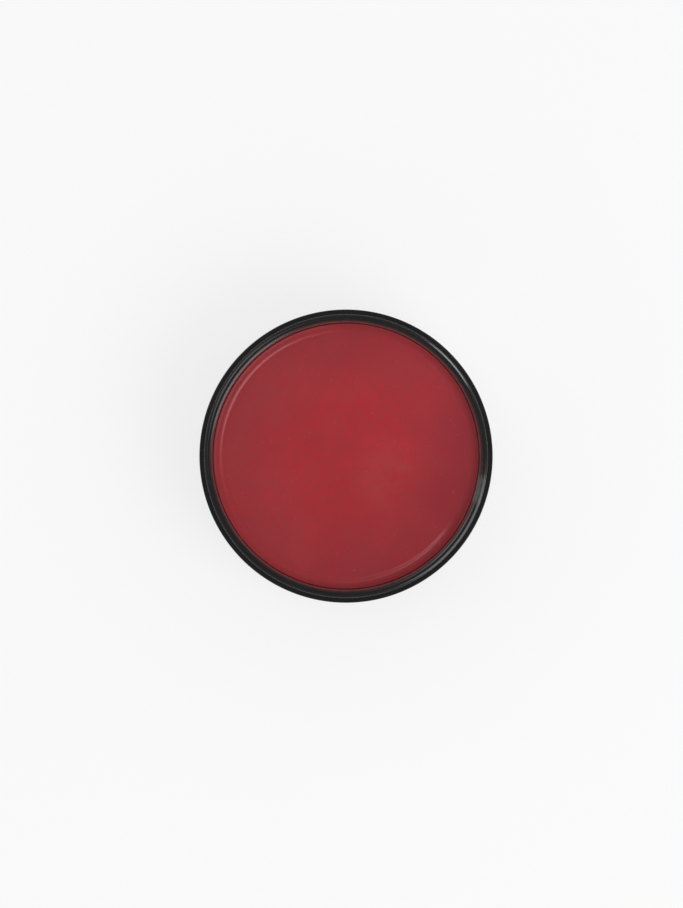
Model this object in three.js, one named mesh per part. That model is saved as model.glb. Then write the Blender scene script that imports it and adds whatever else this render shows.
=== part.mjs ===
// A shallow round paint jar, open: a moulded pot with a rounded lip and a ledge for a slip-on lid,
// the cake of paint poured into it, and the round label stuck into the recess under its base.
// Millimetres, +Z up. The origin is the centre of the base, on the surface the jar stands on.

import * as THREE from "three";

// Driving dimensions
const HEIGHT = 20; // table to the top of the lip
const BODY_RADIUS = 27.5; // outside, at the ledge
const BASE_RADIUS = 26.7; // outside, where the rounded bottom edge begins
const LEDGE_HEIGHT = 13; // where a lid's skirt comes down to
const NECK_RADIUS = 26.3;
const LIP_RADIUS = 26.55; // outside of the lip bead, which a lid clicks over
const LIP_MIDDLE_RADIUS = 25.82; // where the lip is highest
const MOUTH_RADIUS = 24.93; // inside, just below the lip
const WELL_RADIUS = 24.75; // inside, at the floor
const FLOOR_THICKNESS = 1.5;
const PAINT_LEVEL = 18.2; // flat middle of the paint
const LABEL_RADIUS = 20.5;
const LABEL_THICKNESS = 0.15;

// Smaller features of the pot
const BASE_ROUND = 1.6; // outer edge at the table
const FOOT_RING_INNER = 23.1;
const RECESS_RADIUS = 22.6;
const RECESS_DEPTH = 0.7;
const RECESS_EASE = 0.15; // eased inner edge of the foot ring
const BODY_BAND = 1; // upright band under the ledge, above the tapering wall
const LEDGE_ROUND = 0.12;
const NECK_ROOT_ROUND = 0.25;
const LIP_CROWN = 1.45; // radius of the lip's gently rounded top
const LIP_OUTER_CORNER = 0.13;
const LIP_INNER_CORNER = 0.4;
const LIP_LAND_HALF = 0.15; // half width of the flat along the very top
const LIP_DEPTH = 1.1; // from the top of the lip to the foot of its upright sides
const BEAD_UNDERCUT = 0.3; // height of the slope from the bead back to the neck
const WELL_ROUND = 1.5; // where the wall meets the floor inside

// Smaller features of the paint and the label
const FIT_GAP = 0.05; // the paint and the label stand off the pot by this
const RIDGE_START_RADIUS = 22.78; // where the flat middle of the paint ends
const RIDGE_HOLLOW = 1.7; // radius of the hollow curve up from the flat middle
const RIDGE_ROUND = 2.3; // radius of the low ridge that follows
const RIDGE_RISE_DEG = 17; // slope where the hollow curve meets the ridge
const RIDGE_FALL_DEG = 4.25; // slope from the ridge down to the wall

// Mesh fineness
const AROUND = 72; // segments round the jar's axis
const ROUND_STEPS = 5; // segments along a round
const RIDGE_STEPS = 5; // one for each 4.25 degrees of the ridge, so that its crest is a point
const SMALL_ROUND_STEPS = 2; // segments along a round too small to feel

// Heights and radii worked out from those
const FLOOR_HEIGHT = RECESS_DEPTH + FLOOR_THICKNESS;
const WELL_ROUND_TOP = FLOOR_HEIGHT + WELL_ROUND;
const BEAD_FOOT = HEIGHT - LIP_DEPTH;

const point = (radius, height) => new THREE.Vector2(radius, height);

// Points along an arc in a profile, between two angles in degrees.
function arc(centre, radius, from, to, steps = ROUND_STEPS) {
  return Array.from({ length: steps + 1 }, (_, i) => {
    const angle = THREE.MathUtils.degToRad(from + ((to - from) * i) / steps);
    return point(centre.x + radius * Math.cos(angle), centre.y + radius * Math.sin(angle));
  });
}

// A solid of revolution about +Z, from a profile that starts and ends on the axis.
function turned(profile) {
  return new THREE.LatheGeometry(profile, AROUND).rotateX(Math.PI / 2);
}

function named(name, geometry, look) {
  const mesh = new THREE.Mesh(geometry, new THREE.MeshStandardMaterial(look));
  mesh.name = name;
  return mesh;
}

// Radius of the well's wall, which widens from the floor to the lip so that it leaves its mould.
function wallRadius(height) {
  const rise = (height - WELL_ROUND_TOP) / (BEAD_FOOT - WELL_ROUND_TOP);
  return WELL_RADIUS + (MOUTH_RADIUS - WELL_RADIUS) * rise;
}

// The rounded corner and the floor of the well, from the wall to the axis, moved in by a gap.
function wellBottom(gap) {
  const centre = point(WELL_RADIUS - WELL_ROUND, WELL_ROUND_TOP);
  return [...arc(centre, WELL_ROUND - gap, 0, -90), point(0, FLOOR_HEIGHT + gap)];
}

function underside() {
  return [
    point(0, RECESS_DEPTH),
    point(RECESS_RADIUS, RECESS_DEPTH),
    point(FOOT_RING_INNER - RECESS_EASE, RECESS_EASE),
    point(FOOT_RING_INNER, 0),
  ];
}

function outerWall() {
  const baseCentre = point(BASE_RADIUS - BASE_ROUND, BASE_ROUND);
  const ledgeCentre = point(BODY_RADIUS - LEDGE_ROUND, LEDGE_HEIGHT - LEDGE_ROUND);
  const rootCentre = point(NECK_RADIUS + NECK_ROOT_ROUND, LEDGE_HEIGHT + NECK_ROOT_ROUND);
  return [
    ...arc(baseCentre, BASE_ROUND, -90, 0),
    point(BODY_RADIUS, ledgeCentre.y - BODY_BAND),
    ...arc(ledgeCentre, LEDGE_ROUND, 0, 90, SMALL_ROUND_STEPS),
    ...arc(rootCentre, NECK_ROOT_ROUND, 270, 180, SMALL_ROUND_STEPS),
    point(NECK_RADIUS, BEAD_FOOT - BEAD_UNDERCUT),
    point(LIP_RADIUS, BEAD_FOOT),
  ];
}

// Half of the lip's top, from its upright side to the narrow flat: a corner and part of the crown.
// side is 1 for the outer half and -1 for the inner one.
function lipHalf(side, sideRadius, corner) {
  const crownCentre = point(
    LIP_MIDDLE_RADIUS,
    HEIGHT - Math.sqrt(LIP_CROWN ** 2 - LIP_LAND_HALF ** 2),
  );
  const cornerCentre = point(sideRadius - side * corner, 0);
  const reach = LIP_CROWN - corner;
  const offset = cornerCentre.x - crownCentre.x;
  cornerCentre.y = crownCentre.y + Math.sqrt(reach ** 2 - offset ** 2);
  const lean = THREE.MathUtils.radToDeg(Math.asin(Math.abs(offset) / reach));
  const landLean = THREE.MathUtils.radToDeg(Math.asin(LIP_LAND_HALF / LIP_CROWN));
  const upright = 90 - 90 * side;
  return [
    ...arc(cornerCentre, corner, upright, 90 - side * lean, SMALL_ROUND_STEPS),
    ...arc(crownCentre, LIP_CROWN, 90 - side * lean, 90 - side * landLean, SMALL_ROUND_STEPS).slice(1),
  ];
}

function lip() {
  return [
    ...lipHalf(1, LIP_RADIUS, LIP_OUTER_CORNER),
    ...lipHalf(-1, MOUTH_RADIUS, LIP_INNER_CORNER).reverse(),
    point(MOUTH_RADIUS, BEAD_FOOT),
  ];
}

function jarBody() {
  const profile = [...underside(), ...outerWall(), ...lip(), ...wellBottom(0)];
  return named("jar_body", turned(profile), {
    color: 0x151616,
    roughness: 0.22,
    metalness: 0,
  });
}

// The paint's top surface, from the wall to the axis: up a slope to the low ridge that the paint
// set with, down the hollow curve inside it, and across the flat middle.
function paintTop(radiusAtWall) {
  const rise = THREE.MathUtils.degToRad(RIDGE_RISE_DEG);
  const fall = THREE.MathUtils.degToRad(RIDGE_FALL_DEG);
  const crestRadius = RIDGE_START_RADIUS + (RIDGE_HOLLOW + RIDGE_ROUND) * Math.sin(rise);
  const crestHeight = PAINT_LEVEL + (RIDGE_HOLLOW + RIDGE_ROUND) * (1 - Math.cos(rise));
  const ridge = arc(
    point(crestRadius, crestHeight - RIDGE_ROUND),
    RIDGE_ROUND,
    90 - RIDGE_FALL_DEG,
    90 + RIDGE_RISE_DEG,
    RIDGE_STEPS,
  );
  const hollow = arc(
    point(RIDGE_START_RADIUS, PAINT_LEVEL + RIDGE_HOLLOW),
    RIDGE_HOLLOW,
    RIDGE_RISE_DEG - 90,
    -90,
  );
  const drop = (radiusAtWall - ridge[0].x) * Math.tan(fall);
  return [
    point(radiusAtWall, ridge[0].y - drop),
    ...ridge,
    ...hollow.slice(1),
    point(0, PAINT_LEVEL),
  ];
}

function paintCake() {
  const radiusAtWall = wallRadius(PAINT_LEVEL) - FIT_GAP;
  const profile = [...wellBottom(FIT_GAP).reverse(), ...paintTop(radiusAtWall)];
  return named("paint_cake", turned(profile), {
    color: 0x9f3237,
    roughness: 0.38,
    metalness: 0,
  });
}

function baseLabel() {
  const top = RECESS_DEPTH - FIT_GAP;
  const bottom = top - LABEL_THICKNESS;
  const profile = [
    point(0, bottom),
    point(LABEL_RADIUS, bottom),
    point(LABEL_RADIUS, top),
    point(0, top),
  ];
  return named("base_label", turned(profile), {
    color: 0xe8e5de,
    roughness: 0.45,
    metalness: 0,
  });
}

const paintJar = new THREE.Group();
paintJar.add(jarBody(), paintCake(), baseLabel());

export default paintJar;
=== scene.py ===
import math

import bpy
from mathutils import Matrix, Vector, noise


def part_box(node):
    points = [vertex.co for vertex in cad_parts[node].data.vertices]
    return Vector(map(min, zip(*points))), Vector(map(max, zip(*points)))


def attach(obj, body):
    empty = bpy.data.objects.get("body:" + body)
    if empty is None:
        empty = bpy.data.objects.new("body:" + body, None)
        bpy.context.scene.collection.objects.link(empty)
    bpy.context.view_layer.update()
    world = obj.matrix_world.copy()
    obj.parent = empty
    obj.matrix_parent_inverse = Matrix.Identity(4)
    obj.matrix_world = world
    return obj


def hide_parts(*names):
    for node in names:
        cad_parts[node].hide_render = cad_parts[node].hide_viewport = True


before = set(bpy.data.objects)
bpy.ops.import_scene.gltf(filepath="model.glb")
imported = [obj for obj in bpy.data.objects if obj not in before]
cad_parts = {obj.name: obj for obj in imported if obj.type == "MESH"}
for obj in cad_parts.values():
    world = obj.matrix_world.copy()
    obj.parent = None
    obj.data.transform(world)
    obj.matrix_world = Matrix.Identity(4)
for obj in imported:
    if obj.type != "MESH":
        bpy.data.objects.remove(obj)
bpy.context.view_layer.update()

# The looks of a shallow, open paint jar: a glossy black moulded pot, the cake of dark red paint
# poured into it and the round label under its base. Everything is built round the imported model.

MM = 0.001
jar_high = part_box("jar_body")[1] / MM
paint_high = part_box("paint_cake")[1] / MM
label_low, label_high = (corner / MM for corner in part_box("base_label"))


def level(azimuth):
    """The level direction at an angle in degrees, anticlockwise from +X."""
    turn = math.radians(azimuth)
    return Vector((math.cos(turn), math.sin(turn)))


# Sizes in mm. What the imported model's boxes say comes from them; the rest are the pot's smaller
# features, which no box shows.
BODY_RADIUS = jar_high.x
HEIGHT = jar_high.z
LEDGE_HEIGHT = 0.65 * HEIGHT
NECK_RADIUS = 26.3
LIP_RADIUS = 26.55
LIP_MIDDLE = 25.82
MOUTH_RADIUS = 24.93
WELL_RADIUS = 24.75
FLOOR_HEIGHT = 2.2
WELL_ROUND = 1.5
BODY_BAND = 1.1
BODY_BAND_ROUND = 1.2
BASE_TAPER = 0.93  # how much narrower the wall is at the table than at the ledge
BASE_ROUND = 1.6
FOOT_RING_INNER = 23.03
FOOT_RING_ROUND = 0.15
RECESS_RADIUS = 22.6
RECESS_DEPTH = 0.7
RECESS_ROUND = 0.12
LEDGE_ROUND = 0.13
NECK_ROOT_ROUND = 0.25
LIP_CROWN = 1.45  # how round the lip is over its top
LIP_OUTER_CORNER = 0.13
LIP_INNER_CORNER = 0.4
LIP_SHOULDER = 0.45
LIP_DEPTH = 1.1
BEAD_UNDERCUT = 0.3
BEAD_NECK_ROUND = 0.2
BEAD_ROUND = 0.15
LABEL_ROUND = 0.03

PAINT_GAP = 0.02
RIDGE_START = 22.78  # where the paint's flat middle ends and rises to a low round ridge
RIDGE_HOLLOW = 1.7
RIDGE_RISE = math.radians(17)
RIDGE_ROUND = 2.3
RIDGE_FALL = math.radians(4.25)
RIDGE_FOOT = RIDGE_START + RIDGE_HOLLOW * math.sin(RIDGE_RISE)  # the steepest place
RIDGE_SHIFT = Vector((-0.145, 0.105))  # the ridge isn't quite concentric with the pot
RIDGE_BROADER = 0.17  # how much broader it is on the side it's shifted to
FLAT_SIDE = level(25)
FLAT_SHARE = 0.9  # how much of its height the ridge loses on that side
FLAT_FROM, FLAT_TO = 0.27, 0.59  # cosines of the angles from that side where it starts and is full
PAINT_LEVEL = paint_high.z - (RIDGE_HOLLOW + RIDGE_ROUND) * (1 - math.cos(RIDGE_RISE))
SLOW_WAVE, SLOW_WIDTH, SLOW_SEED = 0.02, 9, 3  # height, width and noise slice of the paint's waves
QUICK_WAVE, QUICK_WIDTH, QUICK_SEED = 0.002, 2.6, 7

PALE_PATCH = (8, -4)  # the middle of a paler patch in the paint
PAINTED_SHADE_SIDES = ((354, 0.42), (292, 0.24), (75, 0.2))  # painted shade on these sides: azimuth in degrees, strength

# The label's printing, in mm from the middle of the label
BAR_MIDDLES = (-4.5, -6.5, -8.5, -10.5)
BAR_HALF_HEIGHT, BAR_HALF_LENGTH = 0.35, 9
BORDER_INSET, BORDER_HALF_WIDTH = 1.4, 0.2
SWATCH_UP, SWATCH_RADIUS = 5, 5
PRINT_BLUR = 0.05  # half the width of a printed edge

# Mesh fineness
AROUND = 288
ROUND_STEPS = 6
CROWN_STEPS, CORNER_STEPS = 12, 9
EDGE_STEPS, MIDDLE_STEPS = 60, 70  # rings over the paint's ridge and over its flat middle
RIDGE_MARGIN = 0.5
LEAD = 0.3  # how far before and after a round its sides get a point, in rounds
ON_AXIS = 1e-6

# The picture
CAMERA_DISTANCE = 3.0
SENSOR_WIDTH = 36
FRAMED_HEIGHTS = 3.095  # the picture's height, in jar diameters
JAR_RIGHT, JAR_DOWN = 0.85, 0.40  # mm from the picture's middle to the jar's axis
FLOOR_HALF = 6.0
FLOOR_DROP = 0.02
ROOM_LOW, ROOM_HIGH = 0.36, 0.87  # sines of the heights where the room starts and stops darkening
ROOM_BRIGHT, ROOM_DARK = 1.0, 0.25

# Colours, as linear red, green and blue
BLACK_DEEP = (0.0065, 0.0068, 0.0072, 1)
BLACK_HAZED = (0.0105, 0.0107, 0.011, 1)
PAINT_TRACE = (0.105, 0.014, 0.016, 1)
DUST = (0.16, 0.155, 0.15, 1)
# The grey of the lip's scuff, which is also a painted reflection of the window light
SCUFF_AND_REFLECTION_GREY = (0.085, 0.085, 0.085, 1)
RED_DARKER = (0.437, 0.0165, 0.0253, 1)
RED_LIGHTER = (0.459, 0.0195, 0.0276, 1)
RED_MOTTLE = (0.34, 0.024, 0.033, 1)
RED_PALE = (0.405, 0.044, 0.045, 1)
# A dried film's tint, which is also a painted sheen of the bright room
RED_HAZE_AND_SHEEN = (0.31, 0.030, 0.039, 1)
# Painted shade on the paint towards its edge
RED_PAINTED_SHADE = (0.225, 0.012, 0.023, 1)
# Painted light for the paint's last half mm by the wall
RED_PAINTED_EDGE_LIGHT = (0.47, 0.038, 0.042, 1)
RED_GRAIN = (0.25, 0.012, 0.016, 1)
# Raised specks, with painted glints in their colour
RED_SPECK_AND_GLINT = (0.42, 0.06, 0.06, 1)
RED_PIT = (0.2, 0.014, 0.018, 1)
LABEL_PAPER = (0.8, 0.78, 0.73, 1)
LABEL_STAIN = (0.74, 0.71, 0.65, 1)
LABEL_INK = (0.03, 0.03, 0.032, 1)
LABEL_SWATCH = (0.33, 0.031, 0.036, 1)
FLOOR_DARKER = (0.277, 0.277, 0.277, 1)
FLOOR_LIGHTER = (0.283, 0.283, 0.283, 1)
FLOOR_GLOW = 0.733

PLASTIC_IOR = 1.5
PAINT_IOR = 1.55


# ---------------------------------------------------------------- shapes

def rounded(corners):
    """Profile points from (radius, height, corner round): each corner becomes an arc tangent
    to its two sides, with a point just before and after it to keep those sides' shading flat."""
    points = [Vector(corners[0][:2])]
    for before, (radius, height, size), after in zip(corners, corners[1:], corners[2:]):
        here = Vector((radius, height))
        back = (Vector(before[:2]) - here).normalized()
        ahead = (Vector(after[:2]) - here).normalized()
        half = back.angle(ahead) / 2
        reach = size / math.tan(half)
        centre = here + (back + ahead).normalized() * size / math.sin(half)
        start = here + back * reach - centre
        end = here + ahead * reach - centre
        lead = LEAD * size
        points.append(here + back * (reach + lead))
        for i in range(ROUND_STEPS + 1):
            points.append(centre + start.slerp(end, i / ROUND_STEPS) * size)
        points.append(here + ahead * (reach + lead))
    points.append(Vector(corners[-1][:2]))
    return points


def lip_half(side_radius, corner):
    """From the highest line of the lip down to one of its sides: a wide arc and a tighter one."""
    offset = abs(side_radius - LIP_MIDDLE) - corner
    lean = math.asin(offset / (LIP_CROWN - corner))
    crown_height = HEIGHT - LIP_CROWN
    corner_height = crown_height + (LIP_CROWN - corner) * math.cos(lean)
    outward = math.copysign(1, side_radius - LIP_MIDDLE)
    arcs = (
        (0, crown_height, LIP_CROWN, 0, lean, CROWN_STEPS),
        (offset, corner_height, corner, lean, math.pi / 2, CORNER_STEPS),
    )
    points = []
    for across, height, size, start, end, steps in arcs:
        for i in range(steps):
            turn = start + (end - start) * i / steps
            away = outward * (across + size * math.sin(turn))
            points.append(Vector((LIP_MIDDLE + away, height + size * math.cos(turn))))
    points.append(Vector((side_radius, corner_height)))
    return points


def crown():
    """The top of the lip, from its outer side over the highest line to its inner side."""
    outer = lip_half(LIP_RADIUS, LIP_OUTER_CORNER)
    inner = lip_half(MOUTH_RADIUS, LIP_INNER_CORNER)
    return outer[:0:-1] + inner


def lathe(name, profile, rise=None):
    """A closed mesh about the Z axis from a profile in mm that starts and ends on the axis.
    rise moves a point up by what it returns for the point's place."""
    places, rings, faces = [], [], []
    for radius, height in profile:
        ring = []
        for k in range(AROUND if radius > ON_AXIS else 1):
            turn = 2 * math.pi * k / AROUND
            place = Vector((radius * math.cos(turn), radius * math.sin(turn), max(0, height)))
            if rise:
                place.z += rise(place)
            ring.append(len(places))
            places.append(place * MM)
        rings.append(ring)
    for low, high in zip(rings, rings[1:]):
        for k in range(AROUND):
            corners = (
                low[k % len(low)],
                low[(k + 1) % len(low)],
                high[(k + 1) % len(high)],
                high[k % len(high)],
            )
            faces.append(tuple(dict.fromkeys(corners)))
    mesh = bpy.data.meshes.new(name)
    mesh.from_pydata(places, [], faces)
    mesh.shade_smooth()
    piece = bpy.data.objects.new(name, mesh)
    bpy.context.scene.collection.objects.link(piece)
    return piece


def pot():
    base_radius = BODY_RADIUS - BASE_TAPER
    band_foot = LEDGE_HEIGHT - BODY_BAND
    bead_foot = HEIGHT - LIP_DEPTH
    outside = rounded([
        (0, RECESS_DEPTH, 0),
        (RECESS_RADIUS, RECESS_DEPTH, RECESS_ROUND),
        (FOOT_RING_INNER, 0, FOOT_RING_ROUND),
        (base_radius, 0, BASE_ROUND),
        (BODY_RADIUS, band_foot, BODY_BAND_ROUND),
        (BODY_RADIUS, LEDGE_HEIGHT, LEDGE_ROUND),
        (NECK_RADIUS, LEDGE_HEIGHT, NECK_ROOT_ROUND),
        (NECK_RADIUS, bead_foot - BEAD_UNDERCUT, BEAD_NECK_ROUND),
        (LIP_RADIUS, bead_foot, BEAD_ROUND),
        (LIP_RADIUS, HEIGHT - LIP_SHOULDER, 0),
    ])
    inside = rounded([
        (MOUTH_RADIUS, bead_foot, 0),
        (WELL_RADIUS, FLOOR_HEIGHT, WELL_ROUND),
        (0, FLOOR_HEIGHT, 0),
    ])
    return lathe("jar_pot", outside + crown() + inside)


def eased(value, low, high):
    """0 up to low and 1 from high on, with a smooth step between them."""
    share = min(1, max(0, (value - low) / (high - low)))
    return share * share * (3 - 2 * share)


def paint_height(radius):
    """The paint's surface by distance from the axis: flat, up to the low ridge, down to the wall."""
    crest = RIDGE_FOOT + RIDGE_ROUND * math.sin(RIDGE_RISE)
    brow = crest + RIDGE_ROUND * math.sin(RIDGE_FALL)
    if radius < RIDGE_START:
        return PAINT_LEVEL
    if radius < RIDGE_FOOT:
        drop = math.sqrt(RIDGE_HOLLOW ** 2 - (radius - RIDGE_START) ** 2)
        return PAINT_LEVEL + RIDGE_HOLLOW - drop
    if radius < brow:
        climb = math.sqrt(RIDGE_ROUND ** 2 - (radius - crest) ** 2)
        return paint_high.z - RIDGE_ROUND + climb
    brow_height = paint_high.z - RIDGE_ROUND * (1 - math.cos(RIDGE_FALL))
    return brow_height - (radius - brow) * math.tan(RIDGE_FALL)


def settle(place):
    """How far the set paint's surface stands above its level at a place; 0 below the surface."""
    if place.z < PAINT_LEVEL - PAINT_GAP:
        return 0
    out = min(1, place.xy.length / RIDGE_START)
    shifted = (place.xy - RIDGE_SHIFT * out).length
    facing = out * math.cos(place.xy.angle(RIDGE_SHIFT, 0))
    broader = 1 + RIDGE_BROADER * facing
    climb = paint_height(RIDGE_FOOT + (shifted - RIDGE_FOOT) / broader) - PAINT_LEVEL
    climb *= 1 - FLAT_SHARE * eased(place.xy.normalized().dot(FLAT_SIDE), FLAT_FROM, FLAT_TO)
    slow = noise.noise(Vector((place.x, place.y, SLOW_SEED)) / SLOW_WIDTH)
    quick = noise.noise(Vector((place.x, place.y, QUICK_SEED)) / QUICK_WIDTH)
    return climb * broader + SLOW_WAVE * slow + QUICK_WAVE * quick


def paint():
    wall = paint_high.x - PAINT_GAP
    bottom = rounded([
        (0, FLOOR_HEIGHT + PAINT_GAP, 0),
        (WELL_RADIUS - 2 * PAINT_GAP, FLOOR_HEIGHT + PAINT_GAP, WELL_ROUND),
        (wall, paint_height(wall), 0),
    ])
    inner = RIDGE_START - RIDGE_MARGIN
    radii = [inner + (wall - inner) * i / EDGE_STEPS for i in range(EDGE_STEPS, 0, -1)]
    radii += [inner * i / MIDDLE_STEPS for i in range(MIDDLE_STEPS, -1, -1)]
    top = [Vector((radius, PAINT_LEVEL)) for radius in radii]
    return lathe("paint_cake_surface", bottom[:-1] + top, settle)


def label():
    return lathe(
        "base_label_film",
        rounded([
            (0, label_low.z, 0),
            (label_high.x, label_low.z, LABEL_ROUND),
            (label_high.x, label_high.z, LABEL_ROUND),
            (0, label_high.z, 0),
        ]),
    )


# ---------------------------------------------------------------- materials

class Look:
    """A material under construction: add() makes a node and joins its inputs, and every input
    is either a number, a colour or another node's output."""

    def __init__(self, name):
        self.material = bpy.data.materials.new(name)
        self.material.use_nodes = True
        self.tree = self.material.node_tree
        self.tree.nodes.clear()

    def join(self, socket, value):
        if isinstance(value, bpy.types.NodeSocket):
            self.tree.links.new(value, socket)
        else:
            socket.default_value = value

    def add(self, kind, inputs=None, **settings):
        node = self.tree.nodes.new("ShaderNode" + kind)
        for key, value in settings.items():
            setattr(node, key, value)
        for key, value in (inputs or {}).items():
            self.join(node.inputs[key], value)
        return node

    def maths(self, operation, first, second=0.0):
        return self.add("Math", {0: first, 1: second}, operation=operation).outputs[0]

    def times(self, first, second):
        return self.maths("MULTIPLY", first, second)

    def vector(self, operation, inputs):
        return self.add("VectorMath", inputs, operation=operation).outputs

    def place(self):
        """The point on the object, in mm."""
        point = self.add("TexCoord").outputs["Object"]
        return self.vector("SCALE", {0: point, "Scale": 1 / MM})[0]

    def parts(self, place):
        """The x, y and z of a place."""
        return self.add("SeparateXYZ", {0: place}).outputs

    def length(self, x, y):
        squares = self.maths("ADD", self.times(x, x), self.times(y, y))
        return self.maths("SQRT", squares)

    def noise(self, place, size, detail=2.0, roughness=0.5):
        """Noise from 0 to 1 whose lumps are about size mm across."""
        node = self.add(
            "TexNoise",
            {"Vector": place, "Scale": 1 / size, "Detail": detail, "Roughness": roughness},
        )
        return node.outputs["Fac"]

    def between(self, value, low, high, to_low=0.0, to_high=1.0):
        """value's range from low to high, smoothly spread from to_low to to_high."""
        node = self.add(
            "MapRange",
            {
                "Value": value,
                "From Min": low,
                "From Max": high,
                "To Min": to_low,
                "To Max": to_high,
            },
            interpolation_type="SMOOTHSTEP",
        )
        return node.outputs["Result"]

    def mix(self, share, first, second):
        """first where share is 0 and second where it's 1. The sockets are the colour ones."""
        node = self.add("Mix", {0: share}, data_type="RGBA")
        self.join(node.inputs[6], first)
        self.join(node.inputs[7], second)
        return node.outputs[2]

    def bump(self, height, distance, normal=None):
        """Relief of up to distance mm, on top of another relief's normal."""
        inputs = {"Height": height, "Distance": distance * MM}
        if normal is not None:
            inputs["Normal"] = normal
        return self.add("Bump", inputs).outputs["Normal"]

    def finish(self, color, roughness, **sockets):
        surface = self.add("BsdfPrincipled", {"Base Color": color, "Roughness": roughness, **sockets})
        output = self.add("OutputMaterial")
        self.tree.links.new(surface.outputs[0], output.inputs["Surface"])
        return self.material


def lip_scuff_and_reflection(look, place, angle, height):
    """A short patchy scuff along the top of the lip, whose lighter grey is also a painted reflection
    of the window light.
    """
    middle, half = math.radians(-14), math.radians(7.5)
    off_middle = look.maths("ABSOLUTE", look.maths("SUBTRACT", angle, middle))
    along = look.between(off_middle, half, 0.5 * half)
    on_lip = look.between(height, HEIGHT - 0.5, HEIGHT - 0.25)
    patchy = look.between(look.noise(place, 0.8, 3), 0.2, 0.5, 0.5, 1.0)
    return look.times(look.times(along, on_lip), patchy)


def painty(look, place, radius, height):
    """Traces of paint on the lip's inner side."""
    inside = look.between(radius, LIP_MIDDLE - 0.1, MOUTH_RADIUS + 0.2)
    above = look.between(height, PAINT_LEVEL - 1, PAINT_LEVEL)
    patchy = look.between(look.noise(place, 1.2, 3), 0.2, 0.6, 0.4, 0.9)
    return look.times(look.times(inside, above), patchy)


def plastic():
    look = Look("black_plastic")
    place = look.place()
    x, y, height = look.parts(place)
    radius = look.length(x, y)
    angle = look.maths("ARCTAN2", y, x)

    haze = look.noise(place, 9, 3)
    grain = look.noise(place, 0.35, 2)
    rings = look.add("CombineXYZ", {"X": radius, "Y": height}).outputs[0]
    turned_marks = look.between(look.noise(rings, 0.09, 3, 0.7), 0.6, 0.75)
    rubbed = look.times(turned_marks, look.between(look.noise(place, 5), 0.45, 0.7))
    dust = look.between(look.noise(place, 0.28, 1), 0.82, 0.86)
    scuff_and_reflection = lip_scuff_and_reflection(look, place, angle, height)

    black = look.mix(haze, BLACK_DEEP, BLACK_HAZED)
    black = look.mix(painty(look, place, radius, height), black, PAINT_TRACE)
    black = look.mix(look.times(dust, 0.35), black, DUST)
    # Painted reflection: the lip's top turns grey over the scuff, where it would mirror the window
    # light
    black = look.mix(look.times(scuff_and_reflection, 0.7), black, SCUFF_AND_REFLECTION_GREY)
    rough = look.between(haze, 0.3, 0.7, 0.12, 0.18)
    rough = look.maths("ADD", rough, look.times(rubbed, 0.03))
    rough = look.maths("ADD", rough, look.times(scuff_and_reflection, 0.05))
    normal = look.bump(rubbed, 0.0002, look.bump(grain, 0.0008))
    return look.finish(black, rough, Normal=normal, IOR=PLASTIC_IOR)


def painted_shade_mask(look, place, inside_edge, radius):
    """Painted shade towards the paint's edge: darker areas, each about an azimuth in degrees."""
    flat = look.vector("MULTIPLY", {0: place, 1: (1, 1, 0)})[0]
    outward = look.vector("NORMALIZE", {0: flat})[0]
    painted_shade = 0.0
    for azimuth, share in PAINTED_SHADE_SIDES:
        along = look.vector("DOT_PRODUCT", {0: outward, 1: towards(azimuth, 0)})["Value"]
        lobe = look.between(along, 0.64, 1.0, 0.0, share)
        painted_shade = look.maths("MAXIMUM", lobe, painted_shade)
    painted_shade = look.times(painted_shade, look.between(radius, 10, 20.5))
    return look.times(painted_shade, inside_edge)


def dried_paint():
    look = Look("dark_red_paint")
    place = look.place()
    x, y, _ = look.parts(place)
    radius = look.length(x, y)

    clouds = look.noise(place, 7, 4, 0.55)
    mottle = look.noise(place, 1.6, 3)
    grain = look.noise(place, 0.25, 2)
    specks_and_glints = look.between(look.noise(place, 0.6, 1), 0.72, 0.78)
    pits = look.between(look.noise(place, 0.55, 0), 0.22, 0.16)
    inside_edge = look.between(radius, 24.85, 24)
    # A lighter, greyer ring in the paint: a dried film, and a painted sheen of the bright room on the
    # paint
    haze = look.between(look.noise(place, 6, 3), 0.3, 0.6, 0.55, 1.0)
    haze = look.times(haze, look.between(radius, 9, 19, 0.0, 0.42))
    haze = look.times(haze, inside_edge)
    off_pale = look.vector("DISTANCE", {0: place, 1: (*PALE_PATCH, PAINT_LEVEL)})["Value"]
    pale = look.between(off_pale, 9, 2, 0.0, 0.45)
    pale = look.times(pale, look.between(look.noise(place, 2.8, 3), 0.35, 0.6, 0.2, 1.0))

    red = look.mix(look.between(clouds, 0.35, 0.65), RED_DARKER, RED_LIGHTER)
    red = look.mix(look.between(mottle, 0.3, 0.7, 0, 0.5), red, RED_MOTTLE)
    red = look.mix(pale, red, RED_PALE)
    red = look.mix(haze, red, RED_HAZE_AND_SHEEN)
    # Painted shade: the paint darker towards its edge on the sides where less light falls
    red = look.mix(painted_shade_mask(look, place, inside_edge, radius), red, RED_PAINTED_SHADE)
    # Painted light: the paint lighter and greyer by the wall, against the shade in the crease there
    red = look.mix(look.between(radius, 24.2, 24.8, 0.0, 0.5), red, RED_PAINTED_EDGE_LIGHT)
    red = look.mix(look.between(grain, 0.35, 0.65, 0, 0.12), red, RED_GRAIN)
    # Lighter specks: raised grains, with painted glints in their colour
    red = look.mix(look.times(specks_and_glints, 0.5), red, RED_SPECK_AND_GLINT)
    red = look.mix(look.times(pits, 0.35), red, RED_PIT)
    rough = look.between(clouds, 0.3, 0.7, 0.235, 0.265)
    relief = look.maths("SUBTRACT", specks_and_glints, pits)
    normal = look.bump(relief, 0.003, look.bump(mottle, 0.002))
    return look.finish(red, rough, Normal=normal, IOR=PAINT_IOR)


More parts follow.
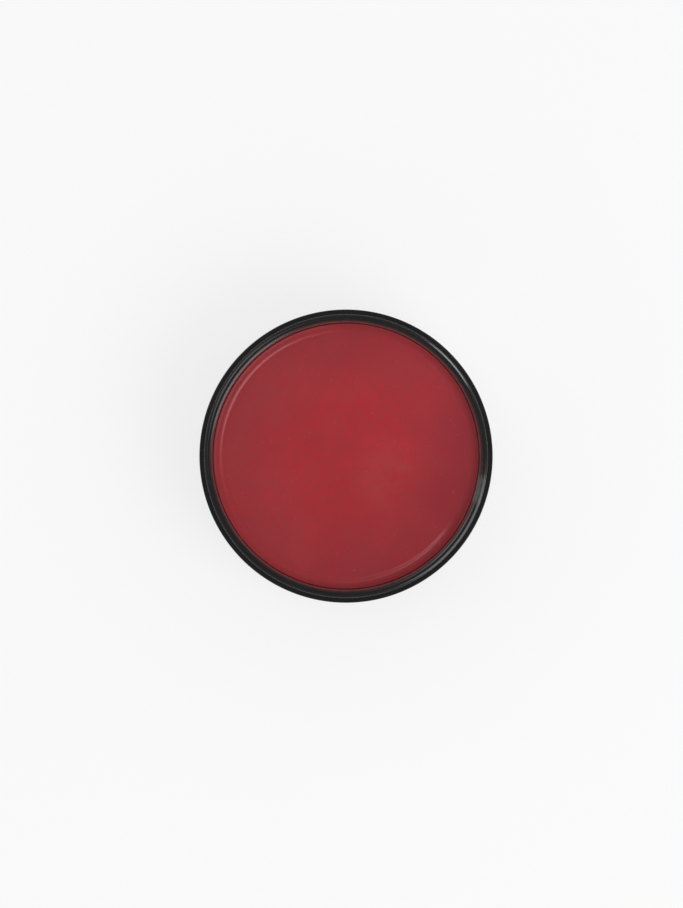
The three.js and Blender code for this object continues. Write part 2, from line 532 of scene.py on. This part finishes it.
def printed_film():
    """Label film with a plain border, four bars and a swatch of the paint's colour."""
    look = Look("label_film")
    place = look.place()
    x, y, _ = look.parts(place)
    radius = look.length(x, y)

    def within(distance, reach):
        return look.between(distance, reach + PRINT_BLUR, reach - PRINT_BLUR)

    def stripe(value, middle, half):
        off = look.maths("ABSOLUTE", look.maths("SUBTRACT", value, middle))
        return within(off, half)

    bars = 0.0
    for middle in BAR_MIDDLES:
        bars = look.maths("MAXIMUM", stripe(y, middle, BAR_HALF_HEIGHT), bars)
    bars = look.times(bars, stripe(x, 0, BAR_HALF_LENGTH))
    border = stripe(radius, label_high.x - BORDER_INSET, BORDER_HALF_WIDTH)
    ink = look.times(look.maths("MAXIMUM", border, bars), 0.85)
    off_swatch = look.length(x, look.maths("SUBTRACT", y, SWATCH_UP))
    swatch = within(off_swatch, SWATCH_RADIUS)
    fibre = look.noise(place, 0.3, 3)
    stain = look.noise(place, 8, 3)

    paper = look.mix(look.between(stain, 0.35, 0.75), LABEL_PAPER, LABEL_STAIN)
    paper = look.mix(ink, paper, LABEL_INK)
    paper = look.mix(swatch, paper, LABEL_SWATCH)
    rough = look.between(fibre, 0.3, 0.7, 0.4, 0.52)
    return look.finish(paper, rough, Normal=look.bump(fibre, 0.004), IOR=PLASTIC_IOR)


def floor_paint():
    look = Look("pale_floor")
    cloud = look.noise(look.place(), 60, 3)
    return look.finish(
        look.mix(cloud, FLOOR_DARKER, FLOOR_LIGHTER),
        look.between(cloud, 0.3, 0.7, 0.85, 0.95),
        **{
            "Emission Color": (1, 1, 1, 1),
            "Emission Strength": FLOOR_GLOW,
            "Specular IOR Level": 0.0,
        },
    )


# ---------------------------------------------------------------- studio

def floor():
    mesh = bpy.data.meshes.new("floor")
    corners = ((-1, -1), (1, -1), (1, 1), (-1, 1))
    places = [(x * FLOOR_HALF, y * FLOOR_HALF, -FLOOR_DROP * MM) for x, y in corners]
    mesh.from_pydata(places, [], [(0, 1, 2, 3)])
    mesh.materials.append(floor_paint())
    ground = bpy.data.objects.new("floor", mesh)
    bpy.context.scene.collection.objects.link(ground)


def towards(azimuth, elevation):
    """The direction of a compass angle, anticlockwise from +X, and a height, in degrees."""
    up = math.radians(elevation)
    return Vector((*(level(azimuth) * math.cos(up)), math.sin(up)))


def soft_light(name, azimuth, elevation, across, tall, radiance, distance=0.8, aim=(0, 0), spread=180):
    """A rectangular light that faces a place on the lip, at aim in mm. across and tall are the
    angles that it takes up as seen from there, level and upright, and spread is the angle that it
    shines into, in degrees; a white surface lit all round has radiance 1."""
    data = bpy.data.lights.new(name, "AREA")
    data.shape = "RECTANGLE"
    data.size = 2 * distance * math.tan(math.radians(across / 2))
    data.size_y = 2 * distance * math.tan(math.radians(tall / 2))
    data.energy = math.pi * data.size * data.size_y * radiance
    data.spread = math.radians(spread)
    lamp = bpy.data.objects.new(name, data)
    direction = towards(azimuth, elevation)
    lamp.location = direction * distance + Vector((*aim, HEIGHT)) * MM
    lamp.rotation_mode = "QUATERNION"
    lamp.rotation_quaternion = direction.to_track_quat("Z", "Y")
    lamp.visible_camera = False
    bpy.context.scene.collection.objects.link(lamp)


def lights():
    soft_light("window", azimuth=324, elevation=48, across=32, tall=34, radiance=2.62)
    soft_light("high_panel", azimuth=143, elevation=70, across=14, tall=22, radiance=1.85)
    soft_light(
        "near_lamp",
        azimuth=41.5,
        elevation=51,
        across=20,
        tall=21,
        radiance=0.3,
        distance=0.081,
        aim=(19.8, 17.5),
        spread=34,
    )


def surroundings():
    """A white room that darkens overhead, where the camera and its stand are."""
    world = bpy.data.worlds.new("studio")
    world.use_nodes = True
    nodes, links = world.node_tree.nodes, world.node_tree.links
    nodes.clear()
    direction = nodes.new("ShaderNodeTexCoord")
    parts = nodes.new("ShaderNodeSeparateXYZ")
    ramp = nodes.new("ShaderNodeValToRGB")
    sky = nodes.new("ShaderNodeBackground")
    out = nodes.new("ShaderNodeOutputWorld")
    stops = ((ROOM_LOW, ROOM_BRIGHT), (ROOM_HIGH, ROOM_DARK))
    for stop, (position, grey) in zip(ramp.color_ramp.elements, stops):
        stop.position = position
        stop.color = (grey, grey, grey, 1)
    sky.inputs["Strength"].default_value = 1.0
    links.new(direction.outputs["Generated"], parts.inputs[0])
    links.new(parts.outputs["Z"], ramp.inputs[0])
    links.new(ramp.outputs[0], sky.inputs["Color"])
    links.new(sky.outputs[0], out.inputs["Surface"])
    bpy.context.scene.world = world


def camera():
    """A camera straight above the jar."""
    data = bpy.data.cameras.new("camera")
    data.sensor_width = SENSOR_WIDTH
    framed = FRAMED_HEIGHTS * 2 * BODY_RADIUS * MM
    data.lens = SENSOR_WIDTH * CAMERA_DISTANCE / framed
    data.clip_end = 2 * CAMERA_DISTANCE
    eye = bpy.data.objects.new("camera", data)
    eye.location = (-JAR_RIGHT * MM, JAR_DOWN * MM, LEDGE_HEIGHT * MM + CAMERA_DISTANCE)
    bpy.context.scene.collection.objects.link(eye)
    bpy.context.scene.camera = eye


# ---------------------------------------------------------------- the whole

camera()
surroundings()
floor()
lights()

for make, finish, node, slot in (
    (pot, plastic, "jar_body", "jar_plastic"),
    (paint, dried_paint, "paint_cake", "paint"),
    (label, printed_film, "base_label", "label_film"),
):
    piece = make()
    piece.data.materials.append(finish())
    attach(piece, "root")
    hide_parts(node)

settings = bpy.context.scene.view_settings
settings.view_transform = "Standard"
settings.look = "None"
